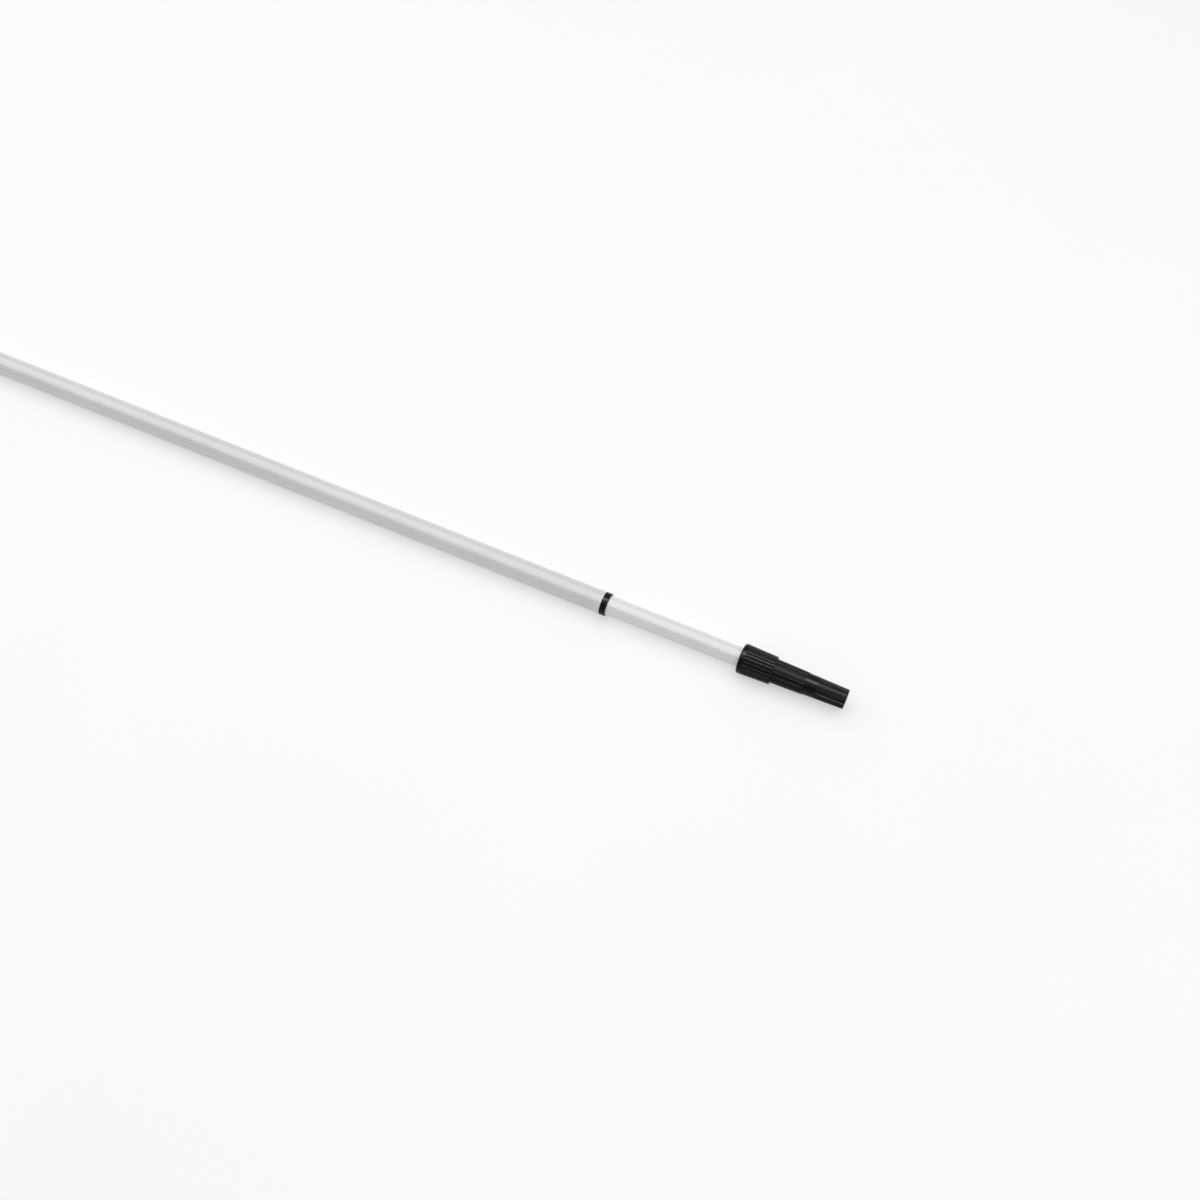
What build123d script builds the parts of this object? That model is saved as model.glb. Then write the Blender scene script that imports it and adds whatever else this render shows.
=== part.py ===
from build123d import *
from math import atan2, degrees, sqrt
import os

# Telescopic roller extension pole, in millimetres.
#
# The pole lies level along X with its tapered tip towards +X, and +Z is up. Places along the pole
# are given as a station: the distance from the rear end of the outer tube. Angles round the pole
# are measured from +Y towards +Z.

# --- Driving dimensions ---------------------------------------------------------------------------

# Tubes
OUTER_TUBE_D = 22.0
INNER_TUBE_D = 19.0
TUBE_WALL = 0.5
OUTER_TUBE_LENGTH = 1000.0
INNER_TUBE_LENGTH = 950.0
SHOWN_TUBE = 132.5  # bare inner tube between the collar and the ferrule, as the pole lies

# Fits, as gaps on the radius
PRESS_GAP = 0.02
RUNNING_GAP = 0.06
LEAD_IN = 0.4  # chamfer at the mouth of a bore or socket

# Details that the small mouldings share
NOSE_LENGTH = 1.5  # tapered end of a spigot that is pressed into a tube
NOSE_DROP = 0.5
EDGE_ROUND = 0.5

# Guide collar in the mouth of the outer tube
COLLAR_D = 22.3
COLLAR_BAND = 6.0
COLLAR_SPIGOT = 25.0
COLLAR_ROUND = 0.8

# Ribbed ferrule, which is the wide base of the tip
BASE_LENGTH = 32.8
BASE_REAR_D = 28.9
BASE_FRONT_D = 26.8
BASE_SMOOTH = 5.0
BASE_REAR_ROUND = 2.4
BASE_RIBS = 22
RIB_GROOVE_WIDTH = 1.7
RIB_GROOVE_DEPTH = 0.9

# Taper that pushes into a roller handle
TAPER_LENGTH = 70.2
TAPER_ROOT_D = 22.3
TAPER_TIP_D = 18.8
TIP_ROUND = 1.0

LAND_LENGTH = 29.5
LAND_FADE = 3.5
LAND_HEIGHT = 0.4
LAND_GROOVES = 16
LAND_GROOVE_WIDTH = 1.5
LAND_GROOVE_ANGLE = 118.5

FLUTE_START = 42.3
FLUTES = 12
FLUTE_WIDTH = 1.6
FLUTE_DEPTH = 0.6
FINE_FLUTE_WIDTH = 0.7
FINE_FLUTE_DEPTH = 0.2
FLUTE_ANGLE = 115.3

SOCKET_DEPTH = 42.8
SOCKET_FLOOR_GAP = 0.3  # between the end of the inner tube and the floor of the socket
CORE_HOLE_D = 12.4
TIP_WALL = 4.0
HUB_WALL = 1.5
TIP_DISH_D = 11.0
TIP_DISH_DEPTH = 0.8

# Hand grip on the rear end of the outer tube
GRIP_LENGTH = 130.0
GRIP_D = 28.8
GRIP_BAND = 9.0
GRIP_BAND_D = 28.2
GRIP_TAPER = 18.0
GRIP_FRONT_D = 24.6
GRIP_SHOULDER = 1.0
GRIP_GROOVE_INSET = 3.0

# End cap with a hanging hole
CAP_LENGTH = 24.0
CAP_BASE = 8.0
CAP_BASE_D = 28.2
CAP_SPIGOT = 20.0
CAP_SPIGOT_WALL = 1.6
CAP_END_ROUND = 10.0
CAP_EYE_THICKNESS = 11.0
HANGING_HOLE_D = 8.0
HANGING_HOLE_FROM_BASE = 8.0

# Twist lock on the lower end of the inner tube
PLUG_SPIGOT = 30.0
PLUG_FLANGE = 3.0
PLUG_FLANGE_D = 20.6
PLUG_FLUTES = 8
PLUG_FLUTE_WIDTH = 2.2
PLUG_FLUTE_DEPTH = 0.8
CRIMP_FROM_END = 14.0
CRIMP_WIDTH = 4.0
CRIMP_RAMP = 1.0
CRIMP_DEPTH = 0.7
CRIMP_PLAY = 0.1

THREAD_D = 9.0
THREAD_ROOT_D = 7.2
THREAD_PITCH = 3.0
THREAD_CREST = 0.8
THREAD_FOOT = 1.6
THREAD_BURIED = 0.25
THREAD_GAP = 0.08
NECK_LENGTH = 17.0
NECK_D = 9.2

SLEEVE_LENGTH = 30.0
SLEEVE_HEAD = 5.0
SLEEVE_HOLE_D = 9.4
SLEEVE_SLOTS = 4
SLEEVE_SLOT_LENGTH = 23.0
SLEEVE_SLOT_WIDTH = 3.0
SLEEVE_RINGS = 5
SLEEVE_RING_FROM_END = 4.0
SLEEVE_RING_PITCH = 3.2
SLEEVE_RING_WIDTH = 1.2
SLEEVE_RING_DEPTH = 0.35
SLEEVE_SEAT_OVER = 1.0  # how far the tapered seat runs past the cone's small end
END_PLAY = 0.15

CONE_LENGTH = 15.0
CONE_SMALL_D = 13.0
CONE_LARGE_D = 17.6
CONE_RIM = 3.0
CONE_IN_SLEEVE = 11.0
CONE_KEY_WIDTH = 2.7
CONE_KEY_D = 19.6
CONE_KEY_ANGLE = 45.0
UNLOCK_TURNS = 1.0
STOP_PLAY = 0.25

WASHER_D = 14.0
WASHER_THICKNESS = 1.2
SCREW_D = 4.0
SCREW_LENGTH = 14.0
SCREW_HEAD_D = 8.0
SCREW_HEAD = 2.6
SCREW_HEAD_ROUND = 1.4
SCREW_POINT = 2.0
SCREW_POINT_R = 0.3
WASHER_GAP = 0.2
SCREW_SLOT_WIDTH = 1.1
SCREW_SLOT_DEPTH = 1.2

# --- Worked out from them -------------------------------------------------------------------------

OUTER_BORE_R = OUTER_TUBE_D / 2 - TUBE_WALL
INNER_BORE_R = INNER_TUBE_D / 2 - TUBE_WALL
HUB_R = INNER_TUBE_D / 2 + PRESS_GAP + HUB_WALL

COLLAR_FRONT = OUTER_TUBE_LENGTH + COLLAR_BAND
FERRULE_REAR = COLLAR_FRONT + SHOWN_TUBE
STEP = FERRULE_REAR + BASE_LENGTH
TIP = STEP + TAPER_LENGTH
INNER_FRONT = FERRULE_REAR + SOCKET_DEPTH - SOCKET_FLOOR_GAP
INNER_REAR = INNER_FRONT - INNER_TUBE_LENGTH

FLANGE_REAR = INNER_REAR - PLUG_FLANGE
SLEEVE_FRONT = FLANGE_REAR - END_PLAY
SLEEVE_REAR = SLEEVE_FRONT - SLEEVE_LENGTH
CONE_FRONT = SLEEVE_REAR + CONE_IN_SLEEVE
CONE_REAR = CONE_FRONT - CONE_LENGTH
SPINDLE_END = CONE_REAR - UNLOCK_TURNS * THREAD_PITCH - STOP_PLAY
THREAD_START = SPINDLE_END - THREAD_PITCH

CAP_REAR = -CAP_LENGTH
MIDDLE = (CAP_REAR + TIP) / 2
AXIS_HEIGHT = sqrt((GRIP_D / 2) ** 2 - (RIB_GROOVE_WIDTH / 2) ** 2)

TAPER_SLOPE = (TAPER_TIP_D - TAPER_ROOT_D) / 2 / TAPER_LENGTH
BASE_SLOPE = (BASE_FRONT_D - BASE_REAR_D) / 2 / BASE_LENGTH

# The grooves of the base and the grip are set so that one is straight below, with a rib each side.
GROOVE_BELOW = 270.0

# How far a cutting tool runs past the surface that it cuts
OVERCUT = 2.0


# --- Shared shapes --------------------------------------------------------------------------------

def on_pole(shape):
    """Move a shape made about the X axis, with stations as X, to its place on the pole."""
    return Pos(-MIDDLE, 0, AXIS_HEIGHT) * shape


def turned(points, rounds=()):
    """A solid turned about the pole's axis from (station, radius) points, with some corners rounded."""
    outline = make_face(Polyline(*points, close=True))
    for (station, radius), size in rounds:
        corner = outline.vertices().sort_by_distance((station, radius, 0))[0]
        outline = fillet(corner, size)
    return revolve(outline, Axis.X)


def ring(rear, front, outer_r, inner_r):
    """A plain tube or ring between two stations."""
    return turned([(rear, inner_r), (rear, outer_r), (front, outer_r), (front, inner_r)])


def rod(rear, front, radius):
    """A plain round bar between two stations."""
    return Location(((rear + front) / 2, 0, 0), (0, 90, 0)) * Cylinder(radius, front - rear)


def round_axis(shape, angle):
    """Turn a shape about the pole's axis by an angle in degrees."""
    return Rot(angle, 0, 0) * shape


def all_round(shape, count, first_angle):
    """Copies of a shape evenly spaced round the pole, the first turned to first_angle."""
    return [round_axis(shape, first_angle + 360 * i / count) for i in range(count)]


def groove_cutter(rear, front, rear_r, front_r, width, depth, rear_is_round=True):
    """A cutter on the +Y side for a groove that follows a tapering surface."""
    length = front - rear
    slope = degrees(atan2(front_r - rear_r, length))
    height = depth + OVERCUT
    blade = Pos(length / 2, height / 2 - depth, 0) * Box(length, height, width)
    if rear_is_round:
        end = Pos(0, height / 2 - depth, 0) * Rot(90, 0, 0) * Cylinder(width / 2, height)
        blade = blade + end
    return Pos(rear, rear_r, 0) * Rot(0, 0, slope) * blade


def taper_r(from_step):
    """Radius of the bare taper at a distance from its step."""
    return TAPER_ROOT_D / 2 + TAPER_SLOPE * from_step


def base_r(from_rear):
    """Radius of the ferrule's base at a distance from its rear face."""
    return BASE_REAR_D / 2 + BASE_SLOPE * from_rear


def thread_ridge(rear, front, gap):
    """The ridge of a right-hand thread on the spindle, made larger all over by gap."""
    height = front - rear
    path = Helix(THREAD_PITCH, height, THREAD_ROOT_D / 2)
    depth = (THREAD_D - THREAD_ROOT_D) / 2
    foot = THREAD_FOOT / 2 + gap
    crest = THREAD_CREST / 2 + gap
    outline = [
        (-THREAD_BURIED, -foot),
        (depth + gap, -crest),
        (depth + gap, crest),
        (-THREAD_BURIED, foot),
    ]
    across = Plane(origin=path @ 0, x_dir=(1, 0, 0), z_dir=path % 0)
    ridge = sweep(across * make_face(Polyline(*outline, close=True)), path=path, is_frenet=True)
    return Pos(rear, 0, 0) * Rot(0, 90, 0) * ridge


# --- Outer pole -----------------------------------------------------------------------------------

def outer_tube():
    """White painted steel tube that is held in the hand."""
    return ring(0, OUTER_TUBE_LENGTH, OUTER_TUBE_D / 2, OUTER_BORE_R)


def guide_collar():
    """Black band at the tube's mouth, with a spigot inside it that guides the inner tube."""
    bore = INNER_TUBE_D / 2 + RUNNING_GAP
    spigot = OUTER_BORE_R - PRESS_GAP
    rear = OUTER_TUBE_LENGTH - COLLAR_SPIGOT
    outline = [
        (rear, bore + LEAD_IN),
        (rear, spigot - NOSE_DROP),
        (rear + NOSE_LENGTH, spigot),
        (OUTER_TUBE_LENGTH, spigot),
        (OUTER_TUBE_LENGTH, COLLAR_D / 2),
        (COLLAR_FRONT, COLLAR_D / 2),
        (COLLAR_FRONT, bore + LEAD_IN),
        (COLLAR_FRONT - LEAD_IN, bore),
        (rear + LEAD_IN, bore),
    ]
    rounds = [
        ((OUTER_TUBE_LENGTH, COLLAR_D / 2), COLLAR_ROUND / 2),
        ((COLLAR_FRONT, COLLAR_D / 2), COLLAR_ROUND),
    ]
    return turned(outline, rounds)


def hand_grip():
    """Ribbed plastic sleeve over the rear end of the outer tube."""
    bore = OUTER_TUBE_D / 2 + PRESS_GAP
    rib_end = GRIP_LENGTH - GRIP_TAPER
    outline = [
        (0, bore),
        (0, GRIP_BAND_D / 2),
        (GRIP_BAND - GRIP_SHOULDER, GRIP_BAND_D / 2),
        (GRIP_BAND, GRIP_D / 2),
        (rib_end, GRIP_D / 2),
        (rib_end + GRIP_SHOULDER, GRIP_BAND_D / 2),
        (GRIP_LENGTH, GRIP_FRONT_D / 2),
        (GRIP_LENGTH, bore),
    ]
    sleeve = turned(outline, [((GRIP_LENGTH, GRIP_FRONT_D / 2), EDGE_ROUND)])
    groove_front = rib_end - GRIP_GROOVE_INSET
    groove = groove_cutter(
        GRIP_BAND + GRIP_GROOVE_INSET,
        groove_front,
        GRIP_D / 2,
        GRIP_D / 2,
        RIB_GROOVE_WIDTH,
        RIB_GROOVE_DEPTH,
    )
    front_end = Rot(90, 0, 0) * Cylinder(RIB_GROOVE_WIDTH / 2, 2 * RIB_GROOVE_DEPTH)
    groove = groove + Pos(groove_front, GRIP_D / 2, 0) * front_end
    return sleeve - all_round(groove, BASE_RIBS, GROOVE_BELOW)


def end_cap():
    """Black cap that plugs the outer tube, with a flat eye to hang the pole by."""
    wide = CAP_BASE_D / 2
    spigot = OUTER_BORE_R - PRESS_GAP
    hollow = spigot - CAP_SPIGOT_WALL
    outline = [
        (CAP_REAR, 0),
        (CAP_REAR, wide),
        (0, wide),
        (0, spigot),
        (CAP_SPIGOT - NOSE_LENGTH, spigot),
        (CAP_SPIGOT, spigot - NOSE_DROP),
        (CAP_SPIGOT, hollow),
        (0, hollow),
        (0, 0),
    ]
    body = turned(outline, [((CAP_REAR, wide), CAP_END_ROUND), ((0, wide), EDGE_ROUND)])
    eye_length = CAP_LENGTH - CAP_BASE
    waste = Box(eye_length, 2 * CAP_BASE_D, CAP_BASE_D)
    waste_middle = CAP_REAR + eye_length / 2
    waste_height = CAP_EYE_THICKNESS / 2 + CAP_BASE_D / 2
    body -= Pos(waste_middle, 0, waste_height) * waste
    body -= Pos(waste_middle, 0, -waste_height) * waste
    hole = Cylinder(HANGING_HOLE_D / 2, CAP_BASE_D)
    return body - Pos(-CAP_BASE - HANGING_HOLE_FROM_BASE, 0, 0) * hole


# --- Inner pole -----------------------------------------------------------------------------------

def inner_tube():
    """Thinner white tube that slides in the outer one, rolled in over the lock plug's groove."""
    outer = INNER_TUBE_D / 2
    start = INNER_REAR + CRIMP_FROM_END
    end = start + CRIMP_WIDTH
    outline = [
        (INNER_REAR, INNER_BORE_R),
        (INNER_REAR, outer),
        (start, outer),
        (start + CRIMP_RAMP, outer - CRIMP_DEPTH),
        (end - CRIMP_RAMP, outer - CRIMP_DEPTH),
        (end, outer),
        (INNER_FRONT, outer),
        (INNER_FRONT, INNER_BORE_R),
        (end, INNER_BORE_R),
        (end - CRIMP_RAMP, INNER_BORE_R - CRIMP_DEPTH),
        (start + CRIMP_RAMP, INNER_BORE_R - CRIMP_DEPTH),
        (start, INNER_BORE_R),
    ]
    return turned(outline)


def taper_blank():
    """The tapered tip as turned, with its hub, socket and core hole but no grooves."""
    socket = INNER_TUBE_D / 2 + PRESS_GAP
    core = CORE_HOLE_D / 2
    land_end = STEP + LAND_LENGTH
    fade_end = land_end + LAND_FADE
    dish = TIP_DISH_D / 2
    outline = [
        (FERRULE_REAR, socket + LEAD_IN),
        (FERRULE_REAR, HUB_R - LEAD_IN),
        (FERRULE_REAR + LEAD_IN, HUB_R),
        (STEP, HUB_R),
        (STEP, taper_r(0) + LAND_HEIGHT),
        (land_end, taper_r(LAND_LENGTH) + LAND_HEIGHT),
        (fade_end, taper_r(LAND_LENGTH + LAND_FADE)),
        (TIP, TAPER_TIP_D / 2),
        (TIP, dish),
        (TIP - TIP_DISH_DEPTH, dish - TIP_DISH_DEPTH),
        (TIP - TIP_DISH_DEPTH, 0),
        (TIP - TIP_WALL, 0),
        (TIP - TIP_WALL, core),
        (FERRULE_REAR + SOCKET_DEPTH, core),
        (FERRULE_REAR + SOCKET_DEPTH, socket),
        (FERRULE_REAR + LEAD_IN, socket),
    ]
    return turned(outline, [((TIP, TAPER_TIP_D / 2), TIP_ROUND)])


def taper_tip():
    """Black moulding on the end of the inner tube: a taper with raised lands and a fluted end."""
    fade = LAND_LENGTH + LAND_FADE
    land_grooves = groove_cutter(
        STEP,
        STEP + fade,
        taper_r(0) + LAND_HEIGHT,
        taper_r(fade) + LAND_HEIGHT,
        LAND_GROOVE_WIDTH,
        LAND_HEIGHT,
        rear_is_round=False,
    )
    land_grooves = land_grooves - rod(STEP - BASE_LENGTH, STEP, BASE_REAR_D)
    body = taper_blank() - all_round(land_grooves, LAND_GROOVES, LAND_GROOVE_ANGLE)
    body = body - flute_tools(FLUTE_WIDTH, FLUTE_DEPTH, FLUTE_ANGLE)
    return body - flute_tools(FINE_FLUTE_WIDTH, FINE_FLUTE_DEPTH, FLUTE_ANGLE + 180 / FLUTES)


def ribbed_ferrule():
    """Black ribbed ring pushed over the tip's hub from the rear, up to the shoulder of the taper."""
    bore = HUB_R + PRESS_GAP
    outline = [
        (FERRULE_REAR, bore + LEAD_IN),
        (FERRULE_REAR, BASE_REAR_D / 2),
        (STEP, BASE_FRONT_D / 2),
        (STEP, bore),
        (FERRULE_REAR + LEAD_IN, bore),
    ]
    rounds = [
        ((FERRULE_REAR, BASE_REAR_D / 2), BASE_REAR_ROUND),
        ((STEP, BASE_FRONT_D / 2), EDGE_ROUND),
    ]
    groove = groove_cutter(
        FERRULE_REAR + BASE_SMOOTH + RIB_GROOVE_WIDTH / 2,
        STEP + OVERCUT,
        base_r(BASE_SMOOTH),
        base_r(BASE_LENGTH + OVERCUT),
        RIB_GROOVE_WIDTH,
        RIB_GROOVE_DEPTH,
    )
    return turned(outline, rounds) - all_round(groove, BASE_RIBS, GROOVE_BELOW)


def flute_tools(width, depth, angle):
    """Cutters for the grooves that run from the smooth part of the taper out through the tip."""
    cutter = groove_cutter(
        STEP + FLUTE_START,
        TIP + OVERCUT,
        taper_r(FLUTE_START),
        taper_r(TAPER_LENGTH + OVERCUT),
        width,
        depth,
    )
    return all_round(cutter, FLUTES, angle)


# --- Twist lock -----------------------------------------------------------------------------------

def lock_plug():
    """Moulding pressed in the inner tube's lower end, with the threaded spindle of the lock."""
    spigot = INNER_BORE_R - PRESS_GAP
    start = INNER_REAR + CRIMP_FROM_END
    end = start + CRIMP_WIDTH
    root = spigot - CRIMP_DEPTH - CRIMP_PLAY
    front = INNER_REAR + PLUG_SPIGOT
    outline = [
        (FLANGE_REAR, 0),
        (FLANGE_REAR, PLUG_FLANGE_D / 2),
        (INNER_REAR, PLUG_FLANGE_D / 2),
        (INNER_REAR, spigot),
        (start - CRIMP_PLAY, spigot),
        (start + CRIMP_RAMP - CRIMP_PLAY, root),
        (end - CRIMP_RAMP + CRIMP_PLAY, root),
        (end + CRIMP_PLAY, spigot),
        (front - NOSE_LENGTH, spigot),
        (front, spigot - NOSE_DROP),
        (front, 0),
    ]
    plug = turned(outline, [((FLANGE_REAR, PLUG_FLANGE_D / 2), EDGE_ROUND)])
    flute = groove_cutter(
        INNER_REAR + PLUG_FLUTE_WIDTH / 2,
        front + OVERCUT,
        spigot,
        spigot,
        PLUG_FLUTE_WIDTH,
        PLUG_FLUTE_DEPTH,
    )
    plug = plug - all_round(flute, PLUG_FLUTES, 0)
    core = rod(SPINDLE_END, FLANGE_REAR, THREAD_ROOT_D / 2)
    neck_rear = FLANGE_REAR - NECK_LENGTH
    neck = rod(neck_rear, FLANGE_REAR, NECK_D / 2)
    ridge = thread_ridge(THREAD_START, neck_rear + THREAD_PITCH, 0)
    limits = rod(SPINDLE_END, neck_rear + THREAD_CREST, THREAD_D)
    plug = plug + core + neck + (ridge & limits)
    pilot = rod(SPINDLE_END, SPINDLE_END + SCREW_LENGTH, SCREW_D / 2 + PRESS_GAP)
    return plug - pilot


def expander_sleeve():
    """Split sleeve that the cone nut spreads against the outer tube's bore. It is shown locked."""
    outer = OUTER_BORE_R - RUNNING_GAP
    hole = SLEEVE_HOLE_D / 2
    head_rear = SLEEVE_FRONT - SLEEVE_HEAD
    seat_front = CONE_FRONT + SLEEVE_SEAT_OVER
    bore = cone_r(seat_front) + RUNNING_GAP
    outline = [
        (SLEEVE_REAR, cone_r(SLEEVE_REAR) + RUNNING_GAP),
        (SLEEVE_REAR, outer),
        (SLEEVE_FRONT, outer),
        (SLEEVE_FRONT, hole),
        (head_rear, hole),
        (head_rear, bore),
        (seat_front, bore),
    ]
    rounds = [((SLEEVE_REAR, outer), EDGE_ROUND), ((SLEEVE_FRONT, outer), EDGE_ROUND)]
    sleeve = turned(outline, rounds)
    slot = Box(2 * SLEEVE_SLOT_LENGTH, 2 * outer, SLEEVE_SLOT_WIDTH)
    slot = Pos(SLEEVE_REAR, outer, 0) * slot
    sleeve = sleeve - all_round(slot, SLEEVE_SLOTS, CONE_KEY_ANGLE)
    for i in range(SLEEVE_RINGS):
        rear = SLEEVE_REAR + SLEEVE_RING_FROM_END + i * SLEEVE_RING_PITCH
        groove = ring(rear, rear + SLEEVE_RING_WIDTH, outer + OVERCUT, outer - SLEEVE_RING_DEPTH)
        sleeve = sleeve - groove
    return sleeve


def cone_r(station):
    """Radius of the cone nut's face at a station."""
    slope = (CONE_LARGE_D - CONE_SMALL_D) / 2 / (CONE_LENGTH - CONE_RIM)
    return CONE_SMALL_D / 2 + slope * (CONE_FRONT - station)


def cone_nut():
    """Keyed cone that the spindle's thread draws into the sleeve to lock the pole."""
    outline = [
        (CONE_REAR, 0),
        (CONE_REAR, CONE_LARGE_D / 2),
        (CONE_REAR + CONE_RIM, CONE_LARGE_D / 2),
        (CONE_FRONT, CONE_SMALL_D / 2),
        (CONE_FRONT, 0),
    ]
    cone = turned(outline, [((CONE_REAR, CONE_LARGE_D / 2), EDGE_ROUND)])
    key = Pos((CONE_REAR + CONE_FRONT) / 2, CONE_KEY_D / 4, 0)
    key = key * Box(CONE_LENGTH, CONE_KEY_D / 2, CONE_KEY_WIDTH)
    for one in all_round(key, SLEEVE_SLOTS, CONE_KEY_ANGLE):
        cone = cone + one
    cone = cone - rod(CONE_REAR, CONE_FRONT, THREAD_ROOT_D / 2 + THREAD_GAP)
    # It starts where the spindle's own thread does, so that the two are in mesh.
    return cone - thread_ridge(THREAD_START, CONE_FRONT + 2 * THREAD_PITCH, THREAD_GAP)


def stop_washer():
    """Steel washer on the spindle's end that the cone nut can't pass."""
    return ring(SPINDLE_END - WASHER_THICKNESS, SPINDLE_END, WASHER_D / 2, SCREW_D / 2 + WASHER_GAP)


def stop_screw():
    """Slotted screw that holds the stop washer."""
    seat = SPINDLE_END - WASHER_THICKNESS
    head_rear = seat - SCREW_HEAD
    outline = [
        (head_rear, 0),
        (head_rear, SCREW_HEAD_D / 2),
        (seat, SCREW_HEAD_D / 2),
        (seat, SCREW_D / 2),
        (seat + SCREW_LENGTH - SCREW_POINT, SCREW_D / 2),
        (seat + SCREW_LENGTH, SCREW_POINT_R),
        (seat + SCREW_LENGTH, 0),
    ]
    screw = turned(outline, [((head_rear, SCREW_HEAD_D / 2), SCREW_HEAD_ROUND)])
    slot = Pos(head_rear, 0, 0) * Box(2 * SCREW_SLOT_DEPTH, SCREW_HEAD_D * 2, SCREW_SLOT_WIDTH)
    return screw - slot


# --- Output ---------------------------------------------------------------------------------------

PIECES = {
    "outer_tube": outer_tube,
    "guide_collar": guide_collar,
    "hand_grip": hand_grip,
    "end_cap": end_cap,
    "inner_tube": inner_tube,
    "taper_tip": taper_tip,
    "ribbed_ferrule": ribbed_ferrule,
    "lock_plug": lock_plug,
    "expander_sleeve": expander_sleeve,
    "cone_nut": cone_nut,
    "stop_washer": stop_washer,
    "stop_screw": stop_screw,
}

os.makedirs("parts", exist_ok=True)
for name, make in PIECES.items():
    export_step(on_pole(make()), f"parts/{name}.step")
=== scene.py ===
"""Studio scene of a telescopic roller extension pole that lies level along X on a pale floor.

Places along a piece are given in millimetres from its rear end, and radii in millimetres from the
pole's axis. Angles round the pole are measured from +Y towards +Z.
"""

import math

import bmesh
import bpy
import numpy as np
from mathutils import Matrix, Vector


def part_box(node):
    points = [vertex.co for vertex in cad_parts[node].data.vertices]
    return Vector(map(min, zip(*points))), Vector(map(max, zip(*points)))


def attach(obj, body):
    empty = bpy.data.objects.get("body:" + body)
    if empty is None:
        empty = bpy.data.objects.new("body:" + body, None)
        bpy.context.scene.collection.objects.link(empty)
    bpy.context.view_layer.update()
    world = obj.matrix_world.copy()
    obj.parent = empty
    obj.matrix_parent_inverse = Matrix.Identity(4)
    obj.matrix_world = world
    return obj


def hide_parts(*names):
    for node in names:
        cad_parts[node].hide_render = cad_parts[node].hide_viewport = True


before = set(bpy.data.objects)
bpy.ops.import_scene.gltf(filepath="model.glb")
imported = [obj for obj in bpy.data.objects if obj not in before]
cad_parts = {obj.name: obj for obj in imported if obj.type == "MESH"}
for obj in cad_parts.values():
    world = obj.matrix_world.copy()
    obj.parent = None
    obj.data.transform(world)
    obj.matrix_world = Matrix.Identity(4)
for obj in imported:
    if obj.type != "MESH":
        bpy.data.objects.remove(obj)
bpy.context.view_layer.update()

MM = 0.001

# --- Sizes read from the frame --------------------------------------------------------------------


def rear_of(node):
    """X of a node's rear end, in metres."""
    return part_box(node)[0].x


def length_of(node):
    """Length of a node along the pole, in millimetres."""
    low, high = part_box(node)
    return (high.x - low.x) / MM


def radius_of(node):
    """Half of a node's width, in millimetres."""
    low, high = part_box(node)
    return (high.y - low.y) / 2 / MM


TUBE_LOW, TUBE_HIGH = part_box("outer_tube")
AXIS_Z = (TUBE_LOW.z + TUBE_HIGH.z) / 2
COLLAR_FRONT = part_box("guide_collar")[1].x
GROOVE_BELOW = math.radians(270)
# Bulging edges and crowns are painted paler from here on, as wear and as a painted highlight.
WEAR_HIGHLIGHT_BEND = (0.12, 0.9)  # curvatures, per millimetre, where rubbing starts and is full

# Details that the mouldings share, in millimetres
PRESS_GAP = 0.02
RUNNING_GAP = 0.06
LEAD_IN = 0.4  # chamfer at the mouth of a bore
NOSE_LENGTH = 1.5  # tapered end of a spigot
NOSE_DROP = 0.5
EDGE_ROUND = 0.5

# --- Mesh helpers ---------------------------------------------------------------------------------


def smooth_step(x):
    """0 below 0, 1 above 1 and a soft ramp between them."""
    x = np.clip(x, 0, 1)
    return x * x * (3 - 2 * x)


def off_centre(angle, first, count):
    """Angle to the nearest of some marks evenly spaced round the pole, the first of them at first."""
    pitch = 2 * math.pi / count
    return (angle - first + pitch / 2) % pitch - pitch / 2


def slot(past_ends, across, width, edge):
    """1 inside a slot with round ends and 0 outside it, with a soft edge."""
    from_middle = np.hypot(np.maximum(past_ends, 0), across)
    return smooth_step((width / 2 + edge / 2 - from_middle) / edge)


def arc(middle, radius, start, end, count):
    """Points of an arc in the plane of an outline, with angles in degrees from the pole's direction."""
    angles = np.radians(np.linspace(start, end, count))
    return [(middle[0] + radius * math.cos(a), middle[1] + radius * math.sin(a)) for a in angles]


def run(start, end, step):
    """Points from start up to but not at end, no further apart than step."""
    length = math.dist(start, end)
    count = max(1, math.ceil(length / step))
    points = [np.array(start) + (np.array(end) - np.array(start)) * i / count for i in range(count)]
    return [tuple(p) for p in points]


def lathe(name, rear_x, outline, segments, form=None, first_angle=GROOVE_BELOW, sharp=40):
    """A closed skin turned about the pole's axis from (distance, radius) points.

    form takes arrays of distance, angle and radius, and gives back the radius at each.
    """
    distance = np.array([p[0] for p in outline])
    radius = np.array([p[1] for p in outline])
    angles = first_angle + np.arange(segments) * 2 * math.pi / segments
    t, a = np.meshgrid(distance, angles, indexing="ij")
    r = np.repeat(radius[:, None], segments, axis=1)
    if form is not None:
        r = form(t, a, r)
    points = np.stack([rear_x + t * MM, r * np.cos(a) * MM, AXIS_Z + r * np.sin(a) * MM], axis=-1)
    rings = len(outline)
    starts_on_axis = radius[0] == 0
    index = np.arange(rings * segments).reshape(rings, segments)
    if starts_on_axis:
        index[0] = index[0, 0]
        index[-1] = index[-1, 0]
    last = rings - 1 if starts_on_axis else rings
    faces = []
    for i in range(last):
        this, after = index[i], index[(i + 1) % rings]
        for j in range(segments):
            k = (j + 1) % segments
            corners = (this[j], this[k], after[k], after[j])
            faces.append([int(c) for n, c in enumerate(corners) if c != corners[n - 1]])
    mesh = bpy.data.meshes.new(name)
    mesh.from_pydata(points.reshape(-1, 3).tolist(), [], faces)
    return finish_mesh(name, mesh, sharp)


LEAST_APART = 0.02  # millimetres between two faces' middles, so that slivers don't count too much


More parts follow.
